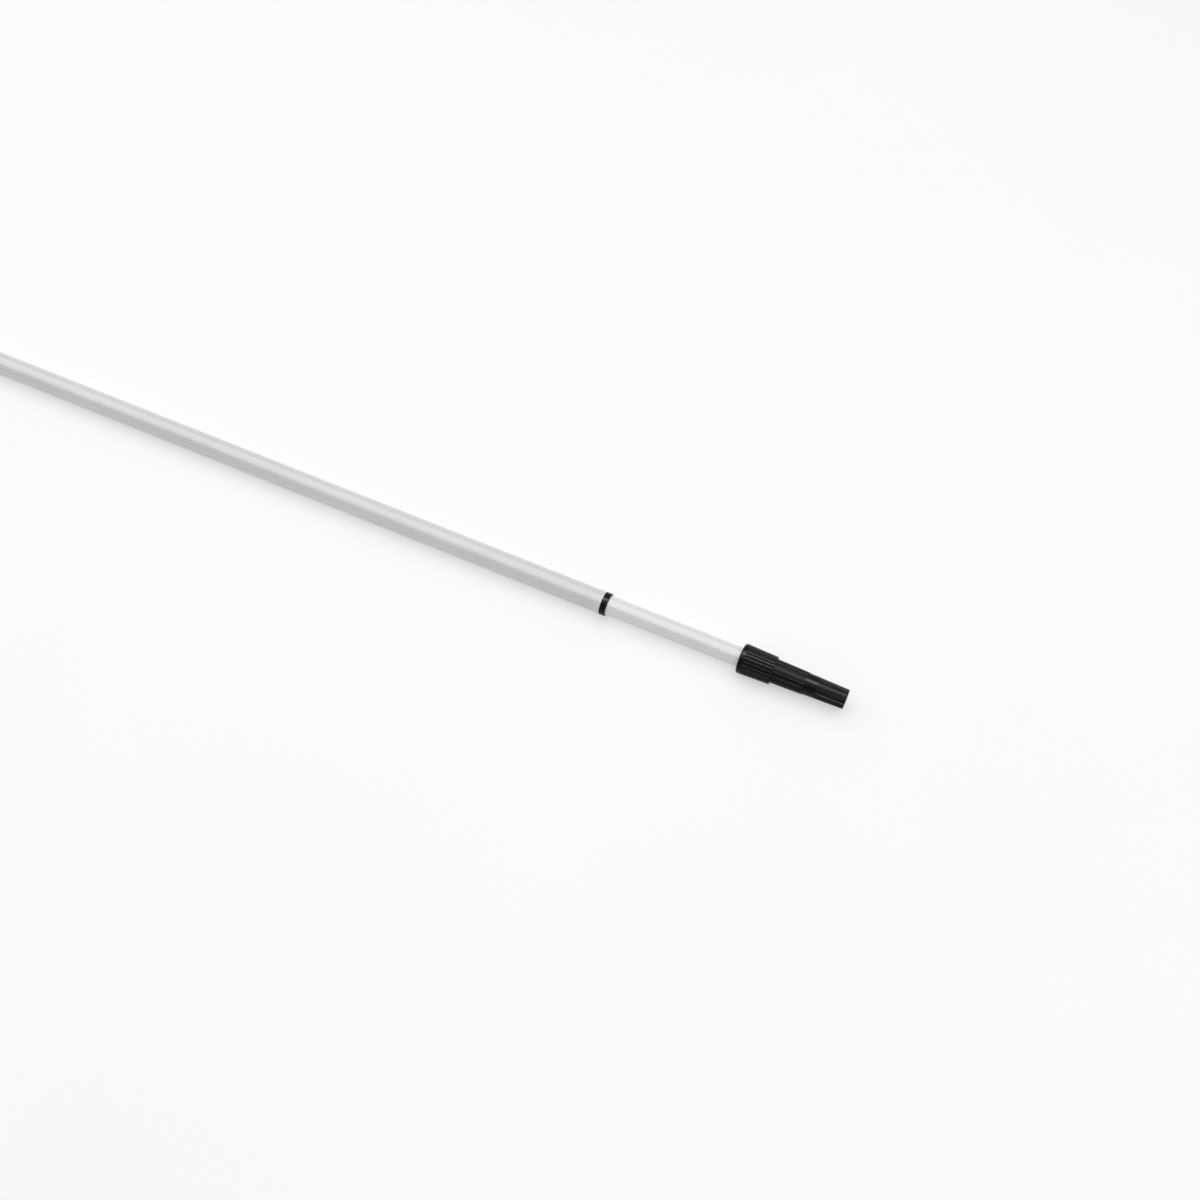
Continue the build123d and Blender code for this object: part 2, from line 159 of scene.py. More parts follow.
def convexity(bm):
    """How strongly the skin bulges at each vertex, in radians per millimetre."""
    bend = np.zeros(len(bm.verts))
    edges = np.zeros(len(bm.verts))
    for edge in bm.edges:
        if not edge.is_manifold:
            continue
        first, second = (face.calc_center_median() for face in edge.link_faces)
        apart = max((first - second).length / MM, LEAST_APART)
        amount = edge.calc_face_angle_signed(0.0) / apart
        for v in edge.verts:
            bend[v.index] += amount
            edges[v.index] += 1
    return bend / np.maximum(edges, 1)


def smooth_and_mark_wear_highlight(mesh, sharp):
    """Smooth a mesh up to an angle and mark its bulging edges and crowns, which the materials paint
    paler as rubbed wear and as a painted highlight.
    """
    bm = bmesh.new()
    bm.from_mesh(mesh)
    bm.verts.index_update()
    low, high = WEAR_HIGHLIGHT_BEND
    wear_and_highlight = smooth_step((convexity(bm) - low) / (high - low))
    bm.free()
    mesh.attributes.new("wear_and_highlight", "FLOAT", "POINT").data.foreach_set("value", wear_and_highlight.astype(np.float32))
    mesh.shade_smooth()
    mesh.set_sharp_from_angle(angle=math.radians(sharp))


def finish_mesh(name, mesh, sharp):
    """Clean a mesh, point its faces outwards, smooth it up to an angle and put it in the scene."""
    bm = bmesh.new()
    bm.from_mesh(mesh)
    loose = [v for v in bm.verts if not v.link_faces]
    bmesh.ops.delete(bm, geom=loose, context="VERTS")
    bmesh.ops.recalc_face_normals(bm, faces=bm.faces)
    bm.to_mesh(mesh)
    bm.free()
    smooth_and_mark_wear_highlight(mesh, sharp)
    piece = bpy.data.objects.new(name, mesh)
    bpy.context.scene.collection.objects.link(piece)
    return piece


def place(piece, body, node, slot_name, material):
    """Give a finished piece its material, hang it on its body and hide the CAD node that it stands for.
    """
    piece.data.materials.append(material)
    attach(piece, body)
    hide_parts(node)


# --- Material helpers -----------------------------------------------------------------------------


class Nodes:
    """A material's node tree, with short calls for the nodes that the materials share."""

    def __init__(self, name):
        self.material = bpy.data.materials.new(name)
        self.material.use_nodes = True
        self.tree = self.material.node_tree
        self.shader = self.tree.nodes["Principled BSDF"]
        self.place = self.tree.nodes.new("ShaderNodeTexCoord").outputs["Object"]

    def link(self, source, target):
        self.tree.links.new(source, target)

    def stretched(self, scale):
        """The place on the piece, scaled along each axis."""
        mapping = self.tree.nodes.new("ShaderNodeMapping")
        mapping.inputs["Scale"].default_value = scale
        self.link(self.place, mapping.inputs["Vector"])
        return mapping.outputs["Vector"]

    def noise(self, scale, detail=2.0, roughness=0.5, vector=None):
        """Noise with scale cells to the metre."""
        node = self.tree.nodes.new("ShaderNodeTexNoise")
        node.inputs["Scale"].default_value = scale
        node.inputs["Detail"].default_value = detail
        node.inputs["Roughness"].default_value = roughness
        self.link(vector or self.place, node.inputs["Vector"])
        return node.outputs["Fac"]

    def ramp(self, value, low, high, to_low, to_high):
        """A value moved from one range to another and held inside it."""
        node = self.tree.nodes.new("ShaderNodeMapRange")
        for socket, number in (
            ("From Min", low),
            ("From Max", high),
            ("To Min", to_low),
            ("To Max", to_high),
        ):
            node.inputs[socket].default_value = number
        self.link(value, node.inputs["Value"])
        return node.outputs["Result"]

    def attribute(self, name):
        """A number kept on the mesh, which is 0 where the mesh has none."""
        node = self.tree.nodes.new("ShaderNodeAttribute")
        node.attribute_name = name
        return node.outputs["Fac"]

    def times(self, first, second):
        node = self.tree.nodes.new("ShaderNodeMath")
        node.operation = "MULTIPLY"
        self.link(first, node.inputs[0])
        self.link(second, node.inputs[1])
        return node.outputs[0]

    def blend(self, amount, first, second):
        """A number between another node's output and a fixed one."""
        node = self.tree.nodes.new("ShaderNodeMix")
        self.link(amount, node.inputs["Factor"])
        self.link(first, node.inputs[2])
        node.inputs[3].default_value = second
        return node.outputs[0]

    def mix(self, amount, first, second):
        """A colour between two, which are colours or other nodes' outputs."""
        node = self.tree.nodes.new("ShaderNodeMix")
        node.data_type = "RGBA"
        self.link(amount, node.inputs["Factor"])
        for socket, value in ((node.inputs[6], first), (node.inputs[7], second)):
            if isinstance(value, bpy.types.NodeSocket):
                self.link(value, socket)
            else:
                socket.default_value = (*value, 1)
        return node.outputs[2]

    def bump(self, height, distance, strength=1.0, under=None):
        """Raise the surface by height times distance, in metres, over another bump if one is given."""
        node = self.tree.nodes.new("ShaderNodeBump")
        node.inputs["Distance"].default_value = distance
        node.inputs["Strength"].default_value = strength
        self.link(height, node.inputs["Height"])
        if under is not None:
            self.link(under, node.inputs["Normal"])
        return node.outputs["Normal"]


# --- Materials ------------------------------------------------------------------------------------


def enamel(name, colour, roughness):
    """Glossy white enamel baked on steel tube: orange peel, uneven gloss and fine rubbed streaks."""
    n = Nodes(name)
    clouds = n.noise(14.0, detail=4.0)
    streaks = n.noise(1.0, detail=5.0, roughness=0.6, vector=n.stretched((14.0, 420.0, 420.0)))
    peel = n.noise(520.0, detail=1.5)
    dust = n.noise(2600.0, detail=2.0)
    duller = tuple(c * 0.955 for c in colour)
    tint = n.mix(n.ramp(clouds, 0.35, 0.65, 0.0, 1.0), duller, colour)
    n.link(n.mix(n.ramp(streaks, 0.60, 0.78, 0.0, 0.5), tint, duller), n.shader.inputs["Base Color"])
    n.link(n.ramp(streaks, 0.35, 0.75, roughness - 0.03, roughness + 0.14), n.shader.inputs["Roughness"])
    n.shader.inputs["IOR"].default_value = 1.85
    low = n.bump(peel, 0.00008)
    n.link(n.bump(dust, 0.000015, under=low), n.shader.inputs["Normal"])
    return n.material


def moulded(name, colour, roughness, grain_size, grain_height, worn_and_highlight, worn_roughness):
    """Moulded plastic: fine grain, soft flow marks, and crowns and edges painted lighter, partly as
    rubbed wear and partly as a painted highlight.
    """
    n = Nodes(name)
    grain = n.noise(1 / grain_size, detail=3.0, roughness=0.6)
    flow = n.noise(1.0, detail=4.0, vector=n.stretched((45.0, 160.0, 160.0)))
    rub_and_glint_breakup = n.noise(700.0, detail=5.0, roughness=0.7)
    # Crowns and edges painted paler: partly rubbed wear, partly a painted highlight on the ribs.
    edges = n.times(n.attribute("wear_and_highlight"), n.ramp(rub_and_glint_breakup, 0.35, 0.62, 0.15, 1.0))
    n.link(n.mix(edges, colour, worn_and_highlight), n.shader.inputs["Base Color"])
    smooth = n.ramp(flow, 0.35, 0.65, roughness - 0.06, roughness + 0.10)
    n.link(n.blend(edges, smooth, worn_roughness), n.shader.inputs["Roughness"])
    n.shader.inputs["Specular IOR Level"].default_value = 0.12
    n.link(n.bump(grain, grain_height), n.shader.inputs["Normal"])
    return n.material


def black_plastic():
    return moulded(
        "black_plastic",
        colour=(0.0018, 0.0018, 0.0019),
        roughness=0.20,
        grain_size=0.00032,
        grain_height=0.00003,
        # Paler colour on crowns and edges: rubbed wear and a painted highlight.
        worn_and_highlight=(0.008, 0.008, 0.0082),
        worn_roughness=0.24,
    )


def grip_plastic():
    return moulded(
        "grip_plastic",
        colour=(0.008, 0.008, 0.0083),
        roughness=0.50,
        grain_size=0.0007,
        grain_height=0.00016,
        # Paler colour on crowns and edges: rubbed wear and a painted highlight.
        worn_and_highlight=(0.018, 0.018, 0.0184),
        worn_roughness=0.40,
    )


def lock_nylon():
    return moulded(
        "lock_nylon",
        colour=(0.030, 0.030, 0.032),
        roughness=0.40,
        grain_size=0.0003,
        grain_height=0.00003,
        # Paler colour on crowns and edges: rubbed wear and a painted highlight.
        worn_and_highlight=(0.05, 0.05, 0.052),
        worn_roughness=0.5,
    )


def sleeve_acetal():
    return moulded(
        "sleeve_acetal",
        colour=(0.62, 0.60, 0.55),
        roughness=0.36,
        grain_size=0.0004,
        grain_height=0.00003,
        # Paler colour on crowns and edges: rubbed wear and a painted highlight.
        worn_and_highlight=(0.66, 0.64, 0.60),
        worn_roughness=0.3,
    )


def zinc(name):
    """Zinc plated steel with turned marks and a slight yellow cast."""
    n = Nodes(name)
    stains = n.noise(500.0, detail=4.0)
    turned = n.noise(1.0, detail=2.0, vector=n.stretched((9000.0, 700.0, 700.0)))
    n.link(n.mix(stains, (0.60, 0.60, 0.58), (0.70, 0.69, 0.64)), n.shader.inputs["Base Color"])
    n.shader.inputs["Metallic"].default_value = 1.0
    n.link(n.ramp(stains, 0.3, 0.7, 0.24, 0.42), n.shader.inputs["Roughness"])
    n.link(n.bump(turned, 0.00001, 0.4), n.shader.inputs["Normal"])
    return n.material


FLOOR_GLOW = 0.49


def floor_paint(name):
    """Pale matt floor, lit softly from below, with a barely visible unevenness."""
    n = Nodes(name)
    clouds = n.noise(3.0, detail=4.0)
    n.link(n.mix(clouds, (0.42, 0.42, 0.42), (0.44, 0.44, 0.44)), n.shader.inputs["Base Color"])
    n.shader.inputs["Emission Color"].default_value = (1, 1, 1, 1)
    n.shader.inputs["Emission Strength"].default_value = FLOOR_GLOW
    n.shader.inputs["Roughness"].default_value = 0.9
    n.shader.inputs["Specular IOR Level"].default_value = 0.1
    return n.material


# --- Tubes ----------------------------------------------------------------------------------------

TUBE_WALL = 0.5
TUBE_EDGE = 0.12
TUBE_SEGMENTS = 192
SEAM_HEIGHT = 0.03
SEAM_WIDTH = 1.6
SEAM_ANGLE = math.radians(285)
CRIMP = (14.0, 18.0, 1.0, 0.7)  # start, end, ramp and depth of the groove rolled over the lock plug
CRIMP_POINTS = 33
EDGE_POINTS = 4
TUBE_STEP = 40.0  # distance between the rings of a plain stretch


def with_seam(t, a, r):
    """The faint ridge along the outside of a welded tube."""
    outside = r > r.min() + TUBE_WALL / 2
    across = off_centre(a, SEAM_ANGLE, 1) * r
    return r + np.where(outside, SEAM_HEIGHT * slot(0, across, SEAM_WIDTH, SEAM_WIDTH), 0)


def crimp_drop(t):
    """How far the wall is rolled in at a distance from the inner tube's lower end."""
    start, end, ramp, depth = CRIMP
    return depth * smooth_step((t - start) / ramp) * smooth_step((end - t) / ramp)


def tube_outline(radius, length, crimped):
    """Outline of a tube with softened mouths, stepped finely where it is crimped."""
    bore = radius - TUBE_WALL
    edge = TUBE_EDGE
    front_outer = arc((length - edge, radius - edge), edge, 90, 0, EDGE_POINTS)
    front_inner = arc((length - edge, bore + edge), edge, 0, -90, EDGE_POINTS)
    rear_inner = arc((edge, bore + edge), edge, 270, 180, EDGE_POINTS)
    rear_outer = arc((edge, radius - edge), edge, 180, 90, EDGE_POINTS)
    fine = np.linspace(CRIMP[0], CRIMP[1], CRIMP_POINTS) if crimped else np.array([])
    stations = np.union1d(np.arange(TUBE_STEP, length - TUBE_STEP / 2, TUBE_STEP), fine)
    outside = [(t, radius - crimp_drop(t) * crimped) for t in stations]
    inside = [(t, bore - crimp_drop(t) * crimped) for t in stations[::-1]]
    return rear_outer + outside + front_outer + front_inner + inside + rear_inner


def make_tube(node, body, slot_name, paint, crimped):
    outline = tube_outline(radius_of(node), length_of(node), crimped)
    tube = lathe(f"{node}_skin", rear_of(node), outline, TUBE_SEGMENTS, with_seam)
    place(tube, body, node, slot_name, paint)


def make_tubes():
    outer_paint = enamel("outer_enamel", (0.586, 0.586, 0.586), 0.14)
    make_tube("outer_tube", "outer_pole", "outer_paint", outer_paint, False)
    inner_paint = enamel("inner_enamel", (0.671, 0.671, 0.671), 0.07)
    make_tube("inner_tube", "inner_pole", "inner_paint", inner_paint, True)


# --- Guide collar ---------------------------------------------------------------------------------

COLLAR_BAND = 6.0
COLLAR_ROUND = 0.8
COLLAR_SEGMENTS = 256


def make_collar(black):
    length = length_of("guide_collar")
    radius = radius_of("guide_collar")
    spigot = radius_of("outer_tube") - TUBE_WALL - PRESS_GAP
    bore = radius_of("inner_tube") + RUNNING_GAP
    band = length - COLLAR_BAND
    soft = COLLAR_ROUND / 2
    outline = [(0, bore + LEAD_IN), (0, spigot - NOSE_DROP), (NOSE_LENGTH, spigot), (band, spigot)]
    outline += arc((band + soft, radius - soft), soft, 180, 90, count=7)
    outline += arc((length - COLLAR_ROUND, radius - COLLAR_ROUND), COLLAR_ROUND, 90, 0, count=10)
    outline += arc((length - LEAD_IN, bore + LEAD_IN), LEAD_IN, 0, -90, count=6)
    outline += [(LEAD_IN, bore)]
    collar = lathe("guide_collar_skin", rear_of("guide_collar"), outline, COLLAR_SEGMENTS)
    place(collar, "outer_pole", "guide_collar", "black_plastic", black)
    return collar


# --- Ribbed ferrule -------------------------------------------------------------------------------

RIBS = 22
RIB_GROOVE = (1.0, 0.95)  # width at half depth, and depth
RIB_EDGE = 0.8
RIB_CROWN = 0.25  # how much lower a rib's edges are than its middle
RIB_SEGMENTS = 36  # round the pole, to each rib of the ferrule
FERRULE_SMOOTH = 5.0
FERRULE_FINE_END = 7.5  # the grooves' round ends lie behind this, and the rings are close there
FERRULE_REAR_ROUND = 2.4
FERRULE_FRONT_R = 13.4
FERRULE_REAR_R = 14.45
FERRULE_FACE = 1.5  # depth of the grooved part of the front face
FERRULE_MOUTH = 0.15  # bevel at the front of the bore
HUB_R = 11.02


def ferrule_r(t):
    """Radius of the ferrule's straight taper at a distance from its rear face."""
    share = t / length_of("ribbed_ferrule")
    return FERRULE_REAR_R + (FERRULE_FRONT_R - FERRULE_REAR_R) * share


def ribbed(surface, a, past_ends):
    """A round surface with crowned ribs between grooves, faded in past the grooves' ends."""
    width, depth = RIB_GROOVE
    across = off_centre(a, GROOVE_BELOW, RIBS) * surface
    half_pitch = math.pi * surface / RIBS
    from_crown = (half_pitch - np.abs(across)) / (half_pitch - width / 2)
    crown = RIB_CROWN * np.clip(from_crown, 0, 1) ** 2 * smooth_step((width - past_ends) / width)
    return surface - crown - (depth - RIB_CROWN) * slot(past_ends, across, width, RIB_EDGE)


def ferrule_form(t, a, r):
    """Cut the grooves between the ribs, which run out through the front face."""
    surface = ribbed(ferrule_r(t), a, FERRULE_SMOOTH + RIB_GROOVE[0] / 2 - t)
    outside = r > (HUB_R + FERRULE_FRONT_R) / 2
    return np.where(outside, np.minimum(r, surface), r)


def make_ferrule(black):
    length = length_of("ribbed_ferrule")
    slope = math.degrees(math.atan2(FERRULE_FRONT_R - FERRULE_REAR_R, length))
    back = FERRULE_REAR_ROUND
    front = length - EDGE_ROUND
    mouth = FERRULE_MOUTH

    def on_ribs(t):
        return t, ferrule_r(t)

    outline = [(0, HUB_R + LEAD_IN)]
    outline += arc((back, ferrule_r(back) - back), back, 180, 90 + slope, count=14)
    outline += run(on_ribs(back + 0.3), on_ribs(FERRULE_FINE_END), step=0.18)
    outline += run(on_ribs(FERRULE_FINE_END), on_ribs(front), step=3.0)
    outline += arc((front, ferrule_r(front) - EDGE_ROUND), EDGE_ROUND, 90 + slope, 0, count=8)
    below_edge = (length, ferrule_r(length) - EDGE_ROUND - 0.1)
    outline += run(below_edge, (length, ferrule_r(length) - FERRULE_FACE), step=0.2)
    outline += [(length, HUB_R + mouth), (length - mouth, HUB_R), (LEAD_IN, HUB_R)]
    segments = RIBS * RIB_SEGMENTS
    ferrule = lathe("ribbed_ferrule_skin", rear_of("ribbed_ferrule"), outline, segments, ferrule_form)
    place(ferrule, "inner_pole", "ribbed_ferrule", "black_plastic", black)
    return ferrule


# --- Tapered tip ----------------------------------------------------------------------------------

TAPER_ROOT_R = 11.15
TAPER_TIP_R = 9.4
TIP_ROUND = 1.0
TIP_SEGMENTS = 768
LAND_LENGTH = 29.5
LAND_FADE = 3.5
LAND_HEIGHT = 0.4
LAND_GROOVES = (16, 1.15, math.radians(118.5))  # count, width and angle of the first
LAND_EDGE = 0.8
LAND_GROOVE_EXTRA = 0.1  # how much deeper than the bare taper the grooves go
STEP_EDGE = ((0.12, 0.02), (0, 0.15))  # how far in front of the step and under the lands
FLUTE_START = 42.3
FLUTE_FINE = (3.0, 1.0)  # the rings are close from this far in front of the flutes' start to behind it
FLUTES = (12, 1.3, 0.65, math.radians(115.3))  # count, width, depth and angle of the first
FINE_FLUTES = (12, 0.7, 0.2, math.radians(130.3))
FLUTE_EDGE = 0.8
TIP_DISH = (5.5, 0.8)  # radius and depth
TIP_DISH_EDGE = 0.4
ROUND_SLACK = 0.01  # lets the end's own round count as part of the outside
PARTING_LINE = (0.05, 0.3, math.radians(27))  # height, width and angle
CORE_R = 6.2
SOCKET_DEPTH = 42.8
TIP_WALL = 4.0


def taper_r(t):
    """Radius of the bare taper at a distance in front of its step."""
    return TAPER_ROOT_R + (TAPER_TIP_R - TAPER_ROOT_R) * t / taper_length()


def taper_length():
    return length_of("taper_tip") - length_of("ribbed_ferrule")


def land_height(t):
    """Height of the raised lands over the bare taper."""
    return LAND_HEIGHT * (1 - smooth_step((t - LAND_LENGTH) / LAND_FADE))


def taper_form(t, a, r):
    """Cut the grooves between the lands and the flutes of the tip, and raise the parting line."""
    t = t - length_of("ribbed_ferrule")
    bare = taper_r(t)
    outside = (t > 0) & (r > TAPER_TIP_R - TIP_ROUND - ROUND_SLACK)
    count, width, first = LAND_GROOVES
    groove = slot(t - LAND_LENGTH, off_centre(a, first, count) * bare, width, LAND_EDGE)
    surface = bare + land_height(t) - (LAND_HEIGHT + LAND_GROOVE_EXTRA) * groove
    for count, width, depth, first in (FLUTES, FINE_FLUTES):
        past_start = FLUTE_START + width / 2 - t
        across = off_centre(a, first, count) * bare
        surface = surface - depth * slot(past_start, across, width, min(FLUTE_EDGE, width))
    height, width, first = PARTING_LINE
    line = height * slot(0, off_centre(a, first, 2) * bare, width, width)
    straight = outside & (t < taper_length() - TIP_ROUND)
    return np.where(outside, np.minimum(r, surface), r) + np.where(straight, line, 0)


def make_tip(black):
    base = length_of("ribbed_ferrule")
    length = taper_length()
    full = length_of("taper_tip")
    slope = math.degrees(math.atan2(TAPER_TIP_R - TAPER_ROOT_R, length))
    socket = radius_of("inner_tube") + PRESS_GAP
    hub = HUB_R - PRESS_GAP
    land_root = taper_r(0) + LAND_HEIGHT
    fade_end = LAND_LENGTH + LAND_FADE
    fine_start = FLUTE_START + FLUTE_FINE[0]
    fine_end = FLUTE_START - FLUTE_FINE[1]
    dish_r, dish_depth = TIP_DISH

    def on_land(t):
        return base + t, taper_r(t) + land_height(t)

    outline = [(full - dish_depth, 0), (full - dish_depth, dish_r - dish_depth), (full, dish_r)]
    outline += run((full, dish_r + TIP_DISH_EDGE), (full, TAPER_TIP_R - TIP_ROUND), step=0.5)
    outline += arc((full - TIP_ROUND, TAPER_TIP_R - TIP_ROUND), TIP_ROUND, 0, 90 + slope, count=10)
    outline += run(on_land(length - TIP_ROUND - 0.3), on_land(fine_start), step=3.0)
    outline += run(on_land(fine_start), on_land(fine_end), step=0.2)
    outline += run(on_land(fine_end), on_land(fade_end + 0.2), step=3.0)
    outline += [on_land(t) for t in np.arange(fade_end, LAND_LENGTH, -0.35)]
    outline += run(on_land(LAND_LENGTH - 0.2), on_land(0.3), step=3.0)
    outline += [on_land(0.3)] + [(base + ahead, land_root - under) for ahead, under in STEP_EDGE]
    outline += [(base, hub), (LEAD_IN, hub), (0, HUB_R - LEAD_IN), (0, socket + LEAD_IN)]
    outline += [(LEAD_IN, socket), (SOCKET_DEPTH, socket), (SOCKET_DEPTH, CORE_R)]
    outline += [(full - TIP_WALL, CORE_R), (full - TIP_WALL, 0)]
    tip = lathe("taper_tip_skin", rear_of("taper_tip"), outline, TIP_SEGMENTS, taper_form)
    place(tip, "inner_pole", "taper_tip", "black_plastic", black)
    return tip


# --- Hand grip ------------------------------------------------------------------------------------

GRIP_BAND = (9.0, 14.1)  # length and radius of the plain band at each end
GRIP_TAPER = 18.0
GRIP_FRONT_R = 12.3
GRIP_SHOULDER = 1.0
GRIP_GROOVE_INSET = 3.0
GRIP_FINE = 1.2  # the rings are close to each side of the grooves' ends by this much
GRIP_RIB_SEGMENTS = 28  # round the pole, to each rib of the grip


def grip_form(t, a, r):
    """Cut the grooves between the grip's ribs, with round ends."""
    start = GRIP_BAND[0] + GRIP_GROOVE_INSET
    end = length_of("hand_grip") - GRIP_TAPER - GRIP_GROOVE_INSET
    surface = ribbed(radius_of("hand_grip"), a, np.maximum(start - t, t - end))
    outside = r > GRIP_FRONT_R
    return np.where(outside, np.minimum(r, surface), r)


def make_grip(rubbery):
    length = length_of("hand_grip")
    radius = radius_of("hand_grip")
    bore = radius_of("outer_tube") + PRESS_GAP
    band, band_r = GRIP_BAND
    front = length - GRIP_TAPER
    start = band + GRIP_GROOVE_INSET
    end = front - GRIP_GROOVE_INSET
    soft = EDGE_ROUND

    def ribs(from_t, to_t, step):
        return run((from_t, radius), (to_t, radius), step)

    outline = [(0, bore)] + arc((soft, band_r - soft), soft, 180, 90, count=6)
    outline += run((band - GRIP_SHOULDER, band_r), (band, radius), step=0.35)
    outline += ribs(band, start - GRIP_FINE, step=0.6)
    outline += ribs(start - GRIP_FINE, start + GRIP_FINE, step=0.16)
    outline += ribs(start + GRIP_FINE, end - GRIP_FINE, step=4.0)
    outline += ribs(end - GRIP_FINE, end + GRIP_FINE, step=0.16)
    outline += ribs(end + GRIP_FINE, front, step=0.6)
    outline += run((front, radius), (front + GRIP_SHOULDER, band_r), step=0.35)
    outline += run((front + GRIP_SHOULDER, band_r), (length - soft, GRIP_FRONT_R + 0.05), step=2.0)
    outline += arc((length - soft, GRIP_FRONT_R - soft), soft, 84, 0, count=6)
    outline += [(length, bore)]
    segments = RIBS * GRIP_RIB_SEGMENTS
    grip = lathe("hand_grip_skin", rear_of("hand_grip"), outline, segments, grip_form)
    place(grip, "outer_pole", "hand_grip", "grip_plastic", rubbery)
    return grip


# --- End cap --------------------------------------------------------------------------------------

CAP_LENGTH = 24.0
CAP_BASE = 8.0
CAP_END_ROUND = 10.0
CAP_SPIGOT_WALL = 1.6
EYE_HALF = 5.5
EYE_FILLET = 0.8
EYE_EDGE = 1.2
HOLE_R = 4.0
HOLE_FROM_BASE = 8.0
HOLE_FLARE = 0.8
HOLE_SEGMENTS = 96
CUTTER_OVERRUN = 3.0
CAP_SEGMENTS = 256
CAP_SHARP = 32  # degrees between faces above which the cap's edges stay sharp


def soft_least(first, second, reach):
    """The lesser of two lengths, rounded off where they come within reach of each other."""
    near = max(reach - abs(first - second), 0) / reach
    return min(first, second) - near * near * reach / 4


def flatten_eye(mesh, rear_x):
    """Squeeze the rear of the cap between two flats, with a small fillet where it meets the base."""
    step_x = rear_x + (CAP_LENGTH - CAP_BASE) * MM
    for v in mesh.vertices:
        behind = (step_x - v.co.x) / MM
        if behind <= 0:
            continue
        gap = max(0.0, EYE_FILLET - behind)
        rise = EYE_FILLET - math.sqrt(max(0.0, EYE_FILLET**2 - gap**2))
        height = (v.co.z - AXIS_Z) / MM
        squeezed = soft_least(abs(height), EYE_HALF + rise, EYE_EDGE)
        v.co.z = AXIS_Z + math.copysign(squeezed, height) * MM


def hole_cutter(x):
    """A spool that cuts the hanging hole and rounds its two mouths."""
    wide = HOLE_R + HOLE_FLARE
    side = [(wide, EYE_HALF + CUTTER_OVERRUN)]
    for a in np.linspace(0, math.pi / 2, 7):
        side.append((wide - HOLE_FLARE * math.sin(a), EYE_HALF - HOLE_FLARE * (1 - math.cos(a))))
    side += [(r, -z) for r, z in side[::-1]]
    bm = bmesh.new()
    rings = []
    for r, z in side:
        ring = []
        for a in np.arange(HOLE_SEGMENTS) * 2 * math.pi / HOLE_SEGMENTS:
            ring.append(bm.verts.new((x + r * math.cos(a) * MM, r * math.sin(a) * MM, AXIS_Z + z * MM)))
        rings.append(ring)
    for above, below in zip(rings, rings[1:]):
        for j in range(HOLE_SEGMENTS):
            k = (j + 1) % HOLE_SEGMENTS
            bm.faces.new((above[j], above[k], below[k], below[j]))
    bm.faces.new(rings[0])
    bm.faces.new(rings[-1][::-1])
    bmesh.ops.recalc_face_normals(bm, faces=bm.faces)
    mesh = bpy.data.meshes.new("hole_cutter")
    bm.to_mesh(mesh)
    bm.free()
    cutter = bpy.data.objects.new("hole_cutter", mesh)
    bpy.context.scene.collection.objects.link(cutter)
    return cutter


def cut(piece, cutter):
    """Cut the cap with another piece, which is then removed."""
    modifier = piece.modifiers.new("hole", "BOOLEAN")
    modifier.operation = "DIFFERENCE"
    modifier.solver = "EXACT"
    modifier.object = cutter
    graph = bpy.context.evaluated_depsgraph_get()
    mesh = bpy.data.meshes.new_from_object(piece.evaluated_get(graph), depsgraph=graph)
    piece.modifiers.clear()
    piece.data = mesh
    bpy.data.objects.remove(cutter)
    mesh.attributes.remove(mesh.attributes["wear_and_highlight"])
    smooth_and_mark_wear_highlight(mesh, CAP_SHARP)


def make_cap(black):
    rear_x = rear_of("end_cap")
    length = length_of("end_cap")
    radius = radius_of("end_cap")
    spigot = radius_of("outer_tube") - TUBE_WALL - PRESS_GAP
    hollow = spigot - CAP_SPIGOT_WALL
    base = CAP_LENGTH - CAP_BASE
    soft = EDGE_ROUND
    end = CAP_END_ROUND
    outline = run((0, 0), (0, radius - end), step=0.5)
    outline += arc((end, radius - end), end, 180, 90, count=40)
    outline += run((end + 0.25, radius), (base - EYE_FILLET, radius), step=0.8)
    outline += run((base - EYE_FILLET, radius), (base, radius), step=0.1) + [(base - 0.001, radius)]
    outline += arc((base + soft, radius - soft), soft, 180, 90, count=6)
    outline += arc((CAP_LENGTH - soft, radius - soft), soft, 90, 0, count=6)
    outline += [(CAP_LENGTH, spigot), (length - NOSE_LENGTH, spigot), (length, spigot - NOSE_DROP)]
    outline += [(length, hollow), (CAP_LENGTH, hollow), (CAP_LENGTH, 0)]
    cap = lathe("end_cap_skin", rear_x, outline, CAP_SEGMENTS, first_angle=0.0)
    flatten_eye(cap.data, rear_x)
    cut(cap, hole_cutter(rear_x + (base - HOLE_FROM_BASE) * MM))
    place(cap, "outer_pole", "end_cap", "black_plastic", black)
    return cap


# --- Twist lock, which keeps its CAD shapes -------------------------------------------------------


def dress(node, material):
    """Give a CAD node its finished material."""
    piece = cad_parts[node]
    piece.data.materials.clear()
    piece.data.materials.append(material)


def dress_lock():
    nylon = lock_nylon()
    plated = zinc("zinc_plate")
    dress("lock_plug", nylon)
    dress("cone_nut", nylon)
    dress("expander_sleeve", sleeve_acetal())
    dress("stop_washer", plated)
    dress("stop_screw", plated)


# --- Studio ---------------------------------------------------------------------------------------

VIEW_AZIMUTH = 24.4
VIEW_ELEVATION = 61.1
VIEW_DISTANCE = 1.404
LENS = 45.0
SENSOR = 36.0
# Where the middle of the view lies from the middle of the collar's front face, in metres across the
# view and up it.
AIM_ACROSS = -0.00841
AIM_UP = 0.00493


